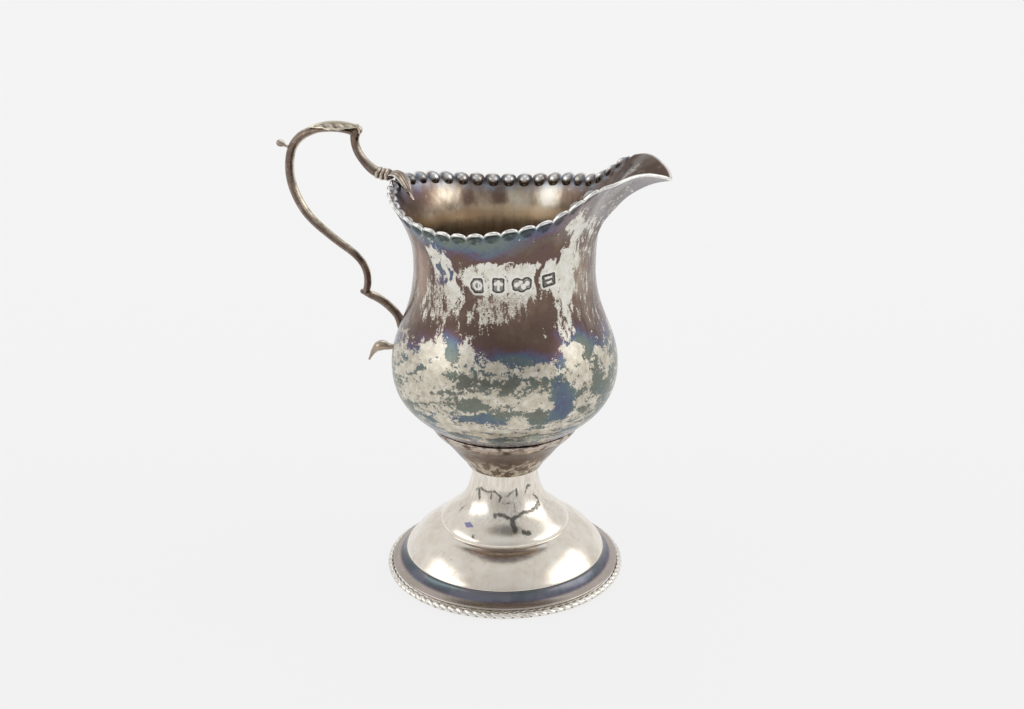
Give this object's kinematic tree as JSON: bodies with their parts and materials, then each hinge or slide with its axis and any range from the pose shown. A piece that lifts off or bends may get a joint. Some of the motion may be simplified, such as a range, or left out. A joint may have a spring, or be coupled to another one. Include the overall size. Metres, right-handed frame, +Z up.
{
  "type": "cream jug",
  "caption": "Small pedestal cream jug: pear-shaped bowl with pulled lip and scalloped rim, trumpet foot with rope border, double-scroll handle with a leaf cap.",
  "frame": {"origin": "on the surface that the jug stands on, under the middle of its overall length and width", "axes": "+Z up along the bowl's axis, +X towards the pouring lip, -X towards the handle, y = 0 is the plane of symmetry"},
  "size_m": [0.0995, 0.0604, 0.1141],
  "materials": {
    "tarnished_silver": "satin",
    "dark_silver": "satin",
    "bright_silver": "polished",
    "pale_silver": "gloss"
  },
  "bodies": {
    "root": {"bowl": "tarnished_silver", "stem_collar": "dark_silver", "foot": "bright_silver", "foot_rope_border": "bright_silver", "foot_base_wire": "bright_silver", "handle_neck": "dark_silver", "handle_upper_scroll": "tarnished_silver", "handle_lower_scroll": "tarnished_silver", "handle_tail": "tarnished_silver", "handle_leaf_cap": "pale_silver", "handle_spur": "tarnished_silver", "handle_rim_tongue": "bright_silver", "handle_knuckle": "tarnished_silver"}
  },
  "joints": []
}
